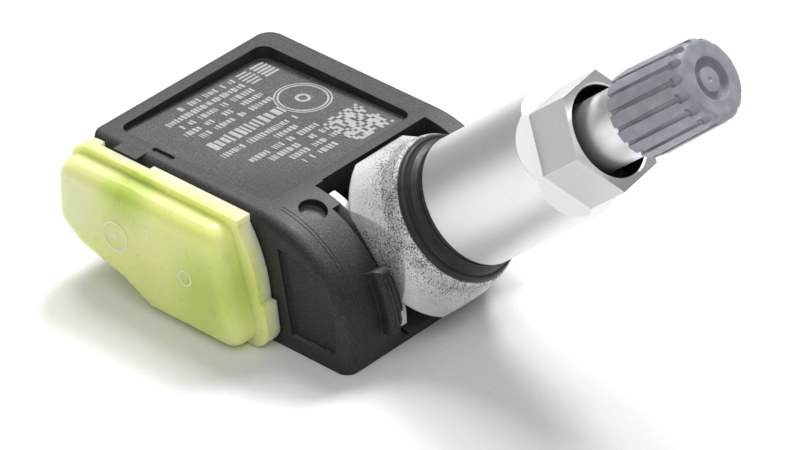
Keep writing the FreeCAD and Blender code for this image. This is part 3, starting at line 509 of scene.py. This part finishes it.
def label_marks(looks):
    """The laser-marked field in the housing's pocket, all of it generic."""
    tree = surface_of("housing")
    shape = bmesh.new()
    rng = random.Random(7)
    for row, length in enumerate((9.0, 13.5, 12.0, 13.0, 12.0)):
        add_mark_row(shape, tree, PAD_LEFT + row * ROW_PITCH, ROW_HEIGHT, 5.4 * MM,
                     length * MM, rng)
    add_mark_row(shape, tree, PAD_LEFT + 5.75 * ROW_PITCH, 2 * ROW_HEIGHT, 4.4 * MM,
                 12.5 * MM, rng)
    for row, length in enumerate((12.5, 5.5, 11.0, 9.5, 8.0, 7.5)):
        add_mark_row(shape, tree, PAD_LEFT + (7.3 + row) * ROW_PITCH, ROW_HEIGHT,
                     (4.0 + 0.15 * row) * MM, length * MM, rng)
    ring_centre = (PAD_LEFT + 8.8 * MM, 7.95 * MM)
    for inner, outer in ((2.85, 3.1), (3.3, 3.5)):
        add_ring(shape, tree, ring_centre, inner * MM, outer * MM)
    add_ring(shape, tree, ring_centre, 0.55 * MM, 0.95 * MM)
    add_checker(shape, tree, (PAD_LEFT + 14.3 * MM, 4.8 * MM), 14, 0.44 * MM, rng)
    stripes = 5
    for stripe in range(stripes):
        x = PAD_LEFT - 0.4 * MM + stripe * STRIPE_PITCH
        bulge = (1.4 + 0.9 * math.sin(math.pi * (stripe + 0.5) / stripes)) * MM
        add_patch(shape, tree, (x, 10.0 * MM), (0.38 * MM, 2.3 * MM))
        add_patch(shape, tree, (x, 7.3 * MM), (0.30 * MM, bulge))
    finish_piece("label_marks", shape, looks["laser_marks"], "housing")


# ---------------------------------------------------------------- moulding lines

RIB_INSET = 3.3 * MM
RIB_GAP = 0.5 * MM
RIB_WIDTH = 0.14 * MM
RIB_RISE = 0.05 * MM
RIB_ANGLES = (8, 86)                  # degrees, from +X up towards +Z


def add_arc_rib(shape, radius, y, width, rise, low, high, steps=60):
    """A low rib round the cradle: its section is a flat-topped hump."""
    section = ((-0.5, -0.2), (-0.3, 1.0), (0.3, 1.0), (0.5, -0.2))
    rows = []
    for step in range(steps + 1):
        angle = math.radians(low + (high - low) * step / steps)
        row = []
        for across, up in section:
            reach = radius + rise * up
            row.append(shape.verts.new((reach * math.cos(angle), y + across * width,
                                        SWIVEL.z + reach * math.sin(angle))))
        rows.append(row)
    for near, far in zip(rows, rows[1:]):
        for index in range(len(section) - 1):
            shape.faces.new((near[index], near[index + 1], far[index + 1], far[index]))


def cradle_ribs(looks):
    """The two fine moulding lines that run round the cradle near its end face."""
    shape = bmesh.new()
    inset = HOUSING_LOW.y + RIB_INSET
    for offset in (0.0, RIB_GAP):
        add_arc_rib(shape, CRADLE_RADIUS, inset + offset, RIB_WIDTH, RIB_RISE, *RIB_ANGLES)
    finish_piece("cradle_ribs", shape, looks["housing_plastic"], "housing")


def lid_gate_marks(looks):
    """The round gate marks moulded in the lid's front."""
    tree = surface_of("end_lid")
    shape = bmesh.new()
    left = (LID_LOW.x + 9.8 * MM, LID_LOW.z + 8.3 * MM)
    right = (LID_LOW.x + 20.7 * MM, LID_LOW.z + 7.4 * MM)
    for centre, inner, outer in ((left, 1.75, 1.95), (left, 0.15, 0.4), (right, 0.85, 1.02)):
        add_ring(shape, tree, centre, inner * MM, outer * MM, facing="front")
    finish_piece("lid_gate_marks", shape, looks["gate_marks"], "housing",
                 thick=0.04 * MM)


# ---------------------------------------------------------------- studio

VIEW_TURN = math.radians(41.38)       # camera's bearing, from straight in front of the lid
VIEW_RISE = math.radians(33.52)
VIEW_DISTANCE = 660 * MM
VIEW_TARGET = Vector((12.9, -5.6, 15.8)) * MM
LENS = 264.4


def stage_floor():
    """A wide pale floor under the housing's flat base."""
    shape = bmesh.new()
    bmesh.ops.create_grid(shape, x_segments=8, y_segments=8, size=3.0)
    bmesh.ops.translate(shape, verts=shape.verts, vec=(0, 0, CAD_BOX[0][2] - 0.05 * MM))
    mesh = bpy.data.meshes.new("floor")
    shape.to_mesh(mesh)
    shape.free()
    mesh.materials.append(floor_look())
    floor = bpy.data.objects.new("floor", mesh)
    bpy.context.scene.collection.objects.link(floor)


def sun(name, bearing, rise, strength, spread):
    """A soft distant light.  Bearing is from straight in front of the lid, as the camera's."""
    light = bpy.data.lights.new(name, "SUN")
    light.energy = strength
    light.angle = math.radians(spread)
    lamp = bpy.data.objects.new(name, light)
    turn, tilt = math.radians(bearing), math.radians(rise)
    towards = Vector((math.sin(turn) * math.cos(tilt), -math.cos(turn) * math.cos(tilt),
                      math.sin(tilt)))
    lamp.rotation_euler = towards.to_track_quat("Z", "Y").to_euler()
    lamp.location = towards
    bpy.context.scene.collection.objects.link(lamp)


def studio():
    """Soft light from behind on the left, a weak fill in front, and a pale surround."""
    sun("key_light", -157, 52, 1.9, 16)
    sun("back_light", -126, 58, 1.2, 18)
    sun("fill_light", 40, 48, 0.7, 70)
    world = bpy.data.worlds.new("studio")
    world.use_nodes = True
    tree = world.node_tree
    rise = add(tree, "SeparateXYZ", {0: add(tree, "TexCoord").outputs["Generated"]})
    shade = ramp(tree, rise.outputs["Z"], (0.0, 0.10), (0.25, 0.16), (0.9, 0.48))
    tree.links.new(shade, tree.nodes["Background"].inputs["Color"])
    bpy.context.scene.world = world
    bpy.context.scene.view_settings.view_transform = "Standard"


def camera():
    """The camera, at the reference view's angle."""
    towards = Vector((math.sin(VIEW_TURN) * math.cos(VIEW_RISE),
                      -math.cos(VIEW_TURN) * math.cos(VIEW_RISE), math.sin(VIEW_RISE)))
    data = bpy.data.cameras.new("camera")
    data.lens = LENS
    data.clip_start = 10 * MM
    eye = bpy.data.objects.new("camera", data)
    eye.location = VIEW_TARGET + towards * VIEW_DISTANCE
    eye.rotation_euler = towards.to_track_quat("Z", "Y").to_euler()
    bpy.context.scene.collection.objects.link(eye)
    bpy.context.scene.camera = eye


looks = dress_nodes()
looks["laser_marks"] = marks_look()
looks["gate_marks"] = plain_look("gate_marks", (0.86, 0.88, 0.60), (0.92, 0.93, 0.72),
                                 0.4 * MM, 0.01 * MM, 0.4)
label_marks(looks)
cradle_ribs(looks)
lid_gate_marks(looks)
stage_floor()
studio()
camera()
